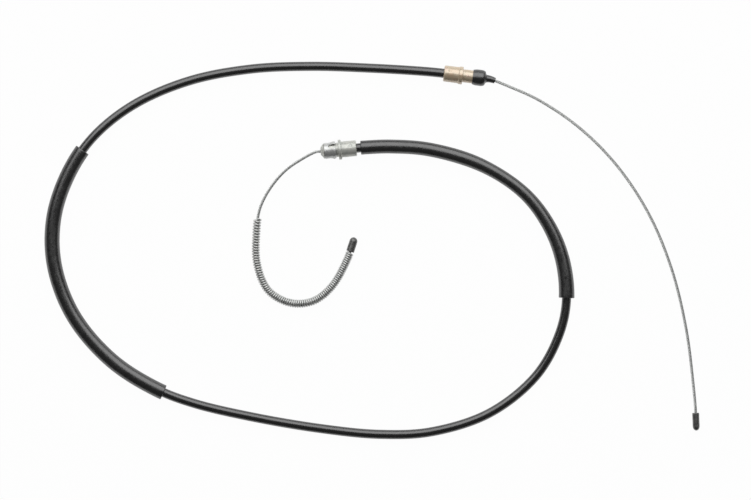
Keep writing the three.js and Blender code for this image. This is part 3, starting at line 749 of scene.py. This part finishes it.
finishes = {
    "galvanised_rope": rope_finish(),
    "spring_steel": spring_finish(),
    "bright_zinc": bright_zinc_finish(),
    "yellow_zinc": yellow_zinc_finish(),
    "cast_zinc": cast_finish(),
    "black_plastic": plastic_finish(),
    "black_rubber": rubber_finish(),
    "liner_plastic": liner_finish(),
}


def placed(piece, node, slot_name):
    """Gives a piece its finish and body, and has it stand for its CAD node."""
    piece.data.materials.append(finishes[slot_name])
    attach(piece, "root")
    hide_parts(node)
    return piece


# The pieces


def button(name, tip, face, direction, radius):
    """A cast bullet with an elliptical nose, a rounded rim and a mouth round the wire."""
    mouth = WIRE_RADIUS + SEAT_GAP
    floor_of_bore = face - direction * (BUTTON_WIRE_DEPTH + SEAT_GAP)
    nose = [
        (
            max(radius * math.sin(math.radians(turn)), NEARLY_NOTHING),
            tip + direction * BUTTON_NOSE_LENGTH * (1 - math.cos(math.radians(turn))),
        )
        for turn in range(0, 91, NOSE_STEP)
    ]
    rim = rounded([
        (radius, tip + direction * BUTTON_NOSE_LENGTH, 0),
        (radius, face, BUTTON_RIM),
        (mouth, face, BUTTON_MOUTH_EDGE),
        (mouth, floor_of_bore, 0),
        (NEARLY_NOTHING, floor_of_bore, 0),
    ])
    profile = np.vstack([nose, rim[1:]])
    if direction < 0:
        profile = profile[::-1]
    return turned(name, profile, BUTTON_SIDES, BUTTON_STEP)


def dust_boot():
    """The boot's nozzle, its shouldered cap, and the groove inside for the spigot's bead."""
    mouth = FRONT_NECK_RADIUS + SEAT_GAP
    groove = BEAD_RADIUS + SEAT_GAP
    bead_end = spigot_end + BEAD_LENGTH
    shoulder = [(radius, cap_front + place, fillet) for radius, place, fillet in BOOT_SHOULDER]
    return turned("dust_boot", rounded([
        (LINER_BORE, boot_tip, 0),
        (BOOT_NOZZLE_TIP_RADIUS, boot_tip, BOOT_NOZZLE_TIP_FILLET),
        (BOOT_NOZZLE_ROOT_RADIUS, cap_front - BOOT_NOZZLE_ROOT_LENGTH, BOOT_NOZZLE_ROOT_FILLET),
        *shoulder,
        (BOOT_CAP_RADIUS, cap_rear - BOOT_CAP_TAPER_LENGTH, BOOT_CAP_TAPER_FILLET),
        (BOOT_CAP_REAR_RADIUS, cap_rear, BOOT_CAP_REAR_FILLET),
        (mouth, cap_rear, 0),
        (mouth, bead_end + SEAT_GAP, 0),
        (groove, bead_end - SEAT_GAP, 0),
        (groove, spigot_end - SEAT_GAP, 0),
        (LINER_BORE, cap_front + BOOT_FRONT_WALL, 0),
        (LINER_BORE, boot_tip, 0),
    ]), BOOT_SIDES, BOOT_STEP)


def front_fitting():
    """The spigot with its bead, the neck, the collar, and the crimped barrel."""
    bead_end = spigot_end + BEAD_LENGTH
    marks = crimp_marks(front_barrel_end - CRIMP_DIMPLE_FROM_END, FRONT_BARREL_RADIUS)
    return turned("front_fitting", rounded([
        (FITTING_BORE, spigot_end, 0),
        (FRONT_NECK_RADIUS, spigot_end, BEAD_FILLET),
        (BEAD_RADIUS, spigot_end + BEAD_HEIGHT, BEAD_FILLET),
        (BEAD_RADIUS, bead_end - BEAD_HEIGHT, BEAD_FILLET),
        (FRONT_NECK_RADIUS, bead_end, BEAD_FILLET),
        (FRONT_NECK_RADIUS, collar_front, ROOT_FILLET),
        (COLLAR_RADIUS, collar_front, COLLAR_FILLET),
        (COLLAR_RADIUS, collar_rear - COLLAR_SLOPE_BEFORE, COLLAR_SLOPE_FILLET),
        (FRONT_BARREL_RADIUS, collar_rear + COLLAR_SLOPE_BEYOND, COLLAR_FILLET),
        (FRONT_BARREL_RADIUS, front_barrel_end, BARREL_FILLET),
        (SOCKET_RADIUS, front_barrel_end, SOCKET_FILLET),
        (SOCKET_RADIUS, front_socket, 0),
        (FITTING_BORE, front_socket, 0),
        (FITTING_BORE, spigot_end, 0),
    ]), FITTING_SIDES, FITTING_STEP, marks)


def rear_fitting():
    """The crimped barrel, the flange, the stepped hub and the coned nose."""
    marks = crimp_marks(rear_barrel_end + CRIMP_DIMPLE_FROM_END, REAR_BARREL_RADIUS)
    shoulder_end = flange_rear + REAR_SHOULDER_LENGTH
    return turned("rear_fitting", rounded([
        (SOCKET_RADIUS, rear_barrel_end, SOCKET_FILLET),
        (REAR_BARREL_RADIUS, rear_barrel_end, BARREL_FILLET),
        (REAR_BARREL_RADIUS, flange_front, ROOT_FILLET),
        (FLANGE_RADIUS, flange_front, FLANGE_FILLET),
        (FLANGE_RADIUS, flange_rear, STEP_FILLET),
        (REAR_SHOULDER_RADIUS, flange_rear, STEP_FILLET),
        (REAR_SHOULDER_RADIUS, shoulder_end, STEP_FILLET),
        (REAR_HUB_RADIUS, shoulder_end, FINE_FILLET),
        (REAR_HUB_RADIUS, nose_start, FINE_FILLET),
        (REAR_NOSE_RADIUS, nose_start, ROOT_FILLET),
        (REAR_NOSE_TIP_RADIUS, nose_tip, ROOT_FILLET),
        (FITTING_BORE, nose_tip, FINE_FILLET),
        (FITTING_BORE, rear_socket, 0),
        (SOCKET_RADIUS, rear_socket, 0),
        (SOCKET_RADIUS, rear_barrel_end, 0),
    ]), FITTING_SIDES, FITTING_STEP, marks)


def prong_retainer():
    """A band of spring steel slit into fingers that rise and turn back in at their tips."""
    band_end = nose_start - SEAT_GAP
    finger_root = band_end - PRONG_BAND_LENGTH
    finger_tip = finger_root - PRONG_FINGER_LENGTH
    crest = finger_tip + PRONG_CREST_FROM_TIP
    slot_end = finger_root + PRONG_SLOT_INTO_BAND
    stations = np.linspace(finger_tip, band_end, PRONG_ROWS)
    rising = np.clip((finger_root - stations) / (finger_root - crest), 0, 1)
    falling = np.clip((crest - stations) / (crest - finger_tip), 0, 1)
    rise = PRONG_FLARE * (
        rising**PRONG_RISE_POWER - PRONG_TIP_DROP * falling**PRONG_DROP_POWER
    )

    def keep(station, angle):
        if station > slot_end:
            return True
        for k in range(PRONG_COUNT):
            turn = abs(turn_from(angle, PRONG_ROLL + 2 * math.pi * k / PRONG_COUNT))
            half = PRONG_SLOT_WIDTH / 2
            beyond = station - (slot_end - half)
            if beyond > 0:
                half = math.sqrt(max(half**2 - beyond**2, 0))
            if turn * (PRONG_BORE + PRONG_SHEET) < half:
                return False
        return True

    inner = PRONG_BORE + rise
    return slit_band("prong_retainer", stations, PRONG_COLUMNS, inner, inner + PRONG_SHEET, keep)


def rear_sleeve():
    """The hose over the rear of the conduit, swollen at its mouth and thin at its waist."""
    waist_start = rear_sleeve_start + REAR_SLEEVE_WAIST_START
    waist_end = rear_sleeve_start + REAR_SLEEVE_WAIST_END
    body_start = rear_sleeve_start + REAR_SLEEVE_BODY_START
    return turned("rear_sleeve", rounded([
        (SLEEVE_BORE, rear_sleeve_start, 0),
        (REAR_SLEEVE_MOUTH_RADIUS, rear_sleeve_start, SLEEVE_EDGE),
        (REAR_SLEEVE_WAIST_RADIUS, waist_start, REAR_SLEEVE_MOUTH_BLEND),
        (REAR_SLEEVE_WAIST_RADIUS, waist_end, REAR_SLEEVE_BODY_BLEND),
        (REAR_SLEEVE_RADIUS, body_start, REAR_SLEEVE_BODY_BLEND),
        (REAR_SLEEVE_RADIUS, rear_sleeve_end, SLEEVE_EDGE),
        (SLEEVE_BORE, rear_sleeve_end, 0),
        (SLEEVE_BORE, rear_sleeve_start, 0),
    ]), SLEEVE_SIDES, SLEEVE_STEP)


placed(
    button("front_button", 0.0, button_face_front, 1, FRONT_BUTTON_RADIUS),
    "front_end_button", "cast_zinc",
)
placed(
    button("rear_button", rear_tip, button_face_rear, -1, REAR_BUTTON_RADIUS),
    "rear_end_button", "cast_zinc",
)
placed(dust_boot(), "front_dust_boot", "black_rubber")
placed(front_fitting(), "front_conduit_fitting", "yellow_zinc")
rear_fitting_piece = placed(rear_fitting(), "rear_conduit_fitting", "bright_zinc")
retainer = placed(prong_retainer(), "rear_prong_retainer", "spring_steel")

conduit_start = front_socket + SEAT_GAP
conduit_end = rear_socket - SEAT_GAP
jacket = placed(
    tube("jacket", JACKET_BORE, JACKET_RADIUS, conduit_start, conduit_end, JACKET_SIDES, JACKET_STEP),
    "conduit_jacket", "black_plastic",
)
placed(
    tube("wound_wire", WOUND_WIRE_BORE, WOUND_WIRE_RADIUS, conduit_start, conduit_end,
         HIDDEN_SIDES, HIDDEN_STEP),
    "conduit_wound_wire", "spring_steel",
)
placed(
    tube("liner", LINER_BORE, LINER_RADIUS, spigot_end + LINER_SETBACK, nose_tip - LINER_SETBACK,
         HIDDEN_SIDES, HIDDEN_STEP),
    "conduit_liner", "liner_plastic",
)
front_sleeve_piece = placed(
    tube("front_sleeve", SLEEVE_BORE, FRONT_SLEEVE_RADIUS, front_sleeve_start, front_sleeve_end,
         SLEEVE_SIDES, SLEEVE_STEP, SLEEVE_EDGE),
    "front_protective_sleeve", "black_rubber",
)
rear_sleeve_piece = placed(rear_sleeve(), "rear_protective_sleeve", "black_rubber")
spring = placed(coil_spring("spring"), "guard_spring", "spring_steel")

# The rope is one piece of the real cable, drawn here in three stretches
wire_start = button_face_front - BUTTON_WIRE_DEPTH
front_wire_end = spigot_end
rear_wire_start = nose_tip - REAR_ROPE_SETBACK
wire_end = button_face_rear + BUTTON_WIRE_DEPTH
front_wire = placed(
    strand("front_wire", wire_start, front_wire_end, BARE_ROPE_STEP),
    "inner_wire_rope", "galvanised_rope",
)
hidden_wire = placed(
    strand("wire_in_conduit", front_wire_end, rear_wire_start, HIDDEN_ROPE_STEP),
    "inner_wire_rope", "galvanised_rope",
)
rear_wire = placed(
    strand("rear_wire", rear_wire_start, wire_end, BARE_ROPE_STEP),
    "inner_wire_rope", "galvanised_rope",
)


# The free stretches of cable


def path_between(start, end):
    """Centreline points of a stretch of the route."""
    count = max(2, math.ceil(abs(end - start) / CORD_STEP) + 1)
    return frames_at(np.linspace(start, end, count))[0].tolist()


def free_cord(piece, start, end, leaves_at, diameter, **facts):
    """Works out the exit point and centreline points of a stretch that could bend, from the end that
    is held; nothing is kept or declared.
    """
    exit_point = frames_at(np.array([leaves_at]))[0][0].tolist()
    path_between(start, end)


free_cord(
    jacket, conduit_start, conduit_end, front_barrel_end, 2 * JACKET_RADIUS,
    far_end="fitting", stiffness="stiff",
    with_pieces=[
        rear_fitting_piece, retainer, front_sleeve_piece, rear_sleeve_piece, "wound_wire",
        "liner", hidden_wire,
    ],
)
free_cord(
    front_wire, front_wire_end, wire_start, boot_tip, 2 * WIRE_RADIUS,
    far_end="fitting", stiffness="stiff", with_pieces=["front_button"],
)
free_cord(
    rear_wire, rear_wire_start, wire_end, nose_tip, 2 * WIRE_RADIUS,
    far_end="fitting", stiffness="stiff", with_pieces=[spring, "rear_button"],
)


# Floor, light and camera

FLOOR_HALF_WIDTH = 6
FLOOR_DROP = 0.6 * MM  # below the frame's own floor, so that no piece dips into it
FLOOR_PAPER = 0.82  # the paper's brightness where light falls on it
FLOOR_GLOW = 0.975  # the share of white that the camera sees over the paper and its shadow
SOFTBOX_TILT = math.radians(44)  # from straight above, towards +Y
SOFTBOX_DISTANCE = 2.6
SOFTBOX_WIDTH = 5.0
SOFTBOX_DEPTH = 3.1
SOFTBOX_POWER = 96
ROOM_STRENGTH = 0.08
PICTURE_WIDTH = 0.8261  # across the cable, at the height below
LENS = 200
SENSOR_WIDTH = 36
PICTURE_CENTRE = (0.00407, -0.00022, 5 * MM)


def background_share(tree):
    """One where the camera, a reflection or a refraction sees the surface."""
    rays = tree.nodes.new("ShaderNodeLightPath")
    share = rays.outputs["Is Camera Ray"]
    for name in ("Is Glossy Ray", "Is Transmission Ray"):
        either = tree.nodes.new("ShaderNodeMath")
        either.operation = "MAXIMUM"
        tree.links.new(share, either.inputs[0])
        tree.links.new(rays.outputs[name], either.inputs[1])
        share = either.outputs[0]
    return share


def floor_finish():
    """White paper that takes a faint shadow."""
    material = bpy.data.materials.new("floor_white")
    material.use_nodes = True
    tree = material.node_tree
    tree.nodes.clear()
    paper = tree.nodes.new("ShaderNodeBsdfDiffuse")
    paper.inputs["Color"].default_value = (FLOOR_PAPER, FLOOR_PAPER, FLOOR_PAPER, 1)
    glow = tree.nodes.new("ShaderNodeEmission")
    scaled = tree.nodes.new("ShaderNodeMath")
    scaled.operation = "MULTIPLY"
    scaled.inputs[1].default_value = FLOOR_GLOW
    tree.links.new(background_share(tree), scaled.inputs[0])
    mixed = tree.nodes.new("ShaderNodeMixShader")
    tree.links.new(scaled.outputs[0], mixed.inputs["Fac"])
    tree.links.new(paper.outputs[0], mixed.inputs[1])
    tree.links.new(glow.outputs[0], mixed.inputs[2])
    out = tree.nodes.new("ShaderNodeOutputMaterial")
    tree.links.new(mixed.outputs[0], out.inputs["Surface"])
    return material


def make_floor():
    mesh = bpy.data.meshes.new("floor")
    half = FLOOR_HALF_WIDTH
    mesh.from_pydata(
        [(-half, -half, 0), (half, -half, 0), (half, half, 0), (-half, half, 0)],
        [], [(0, 1, 2, 3)],
    )
    mesh.materials.append(floor_finish())
    floor = bpy.data.objects.new("floor", mesh)
    floor.location.z = -FLOOR_DROP
    bpy.context.scene.collection.objects.link(floor)


def make_softbox():
    """One soft rectangular light over the top of the picture, facing the frame's origin."""
    data = bpy.data.lights.new("softbox", "AREA")
    data.shape = "RECTANGLE"
    data.size = SOFTBOX_WIDTH
    data.size_y = SOFTBOX_DEPTH
    data.energy = SOFTBOX_POWER
    light = bpy.data.objects.new("softbox", data)
    away = Vector((0, math.sin(SOFTBOX_TILT), math.cos(SOFTBOX_TILT)))
    light.location = away * SOFTBOX_DISTANCE
    light.rotation_mode = "QUATERNION"
    light.rotation_quaternion = away.to_track_quat("Z", "Y")
    light.visible_camera = False
    bpy.context.scene.collection.objects.link(light)


def make_world():
    """Faint light from all round, and plain white where the camera sees past the floor."""
    world = bpy.data.worlds.new("studio")
    bpy.context.scene.world = world
    world.use_nodes = True
    tree = world.node_tree
    tree.nodes.clear()
    room = tree.nodes.new("ShaderNodeBackground")
    room.inputs["Color"].default_value = (1, 1, 1, 1)
    room.inputs["Strength"].default_value = ROOM_STRENGTH
    white = tree.nodes.new("ShaderNodeBackground")
    rays = tree.nodes.new("ShaderNodeLightPath")
    mixed = tree.nodes.new("ShaderNodeMixShader")
    out = tree.nodes.new("ShaderNodeOutputWorld")
    tree.links.new(rays.outputs["Is Camera Ray"], mixed.inputs["Fac"])
    tree.links.new(room.outputs[0], mixed.inputs[1])
    tree.links.new(white.outputs[0], mixed.inputs[2])
    tree.links.new(mixed.outputs[0], out.inputs["Surface"])


def make_camera():
    """A long lens straight above, whose picture is as wide as the photo at the cable."""
    data = bpy.data.cameras.new("camera")
    data.lens = LENS
    data.sensor_width = SENSOR_WIDTH
    camera = bpy.data.objects.new("camera", data)
    x, y, z = PICTURE_CENTRE
    camera.location = (x, y, z + PICTURE_WIDTH * LENS / SENSOR_WIDTH)
    bpy.context.scene.collection.objects.link(camera)
    bpy.context.scene.camera = camera


make_floor()
make_softbox()
make_world()
make_camera()
bpy.context.scene.view_settings.view_transform = "Standard"
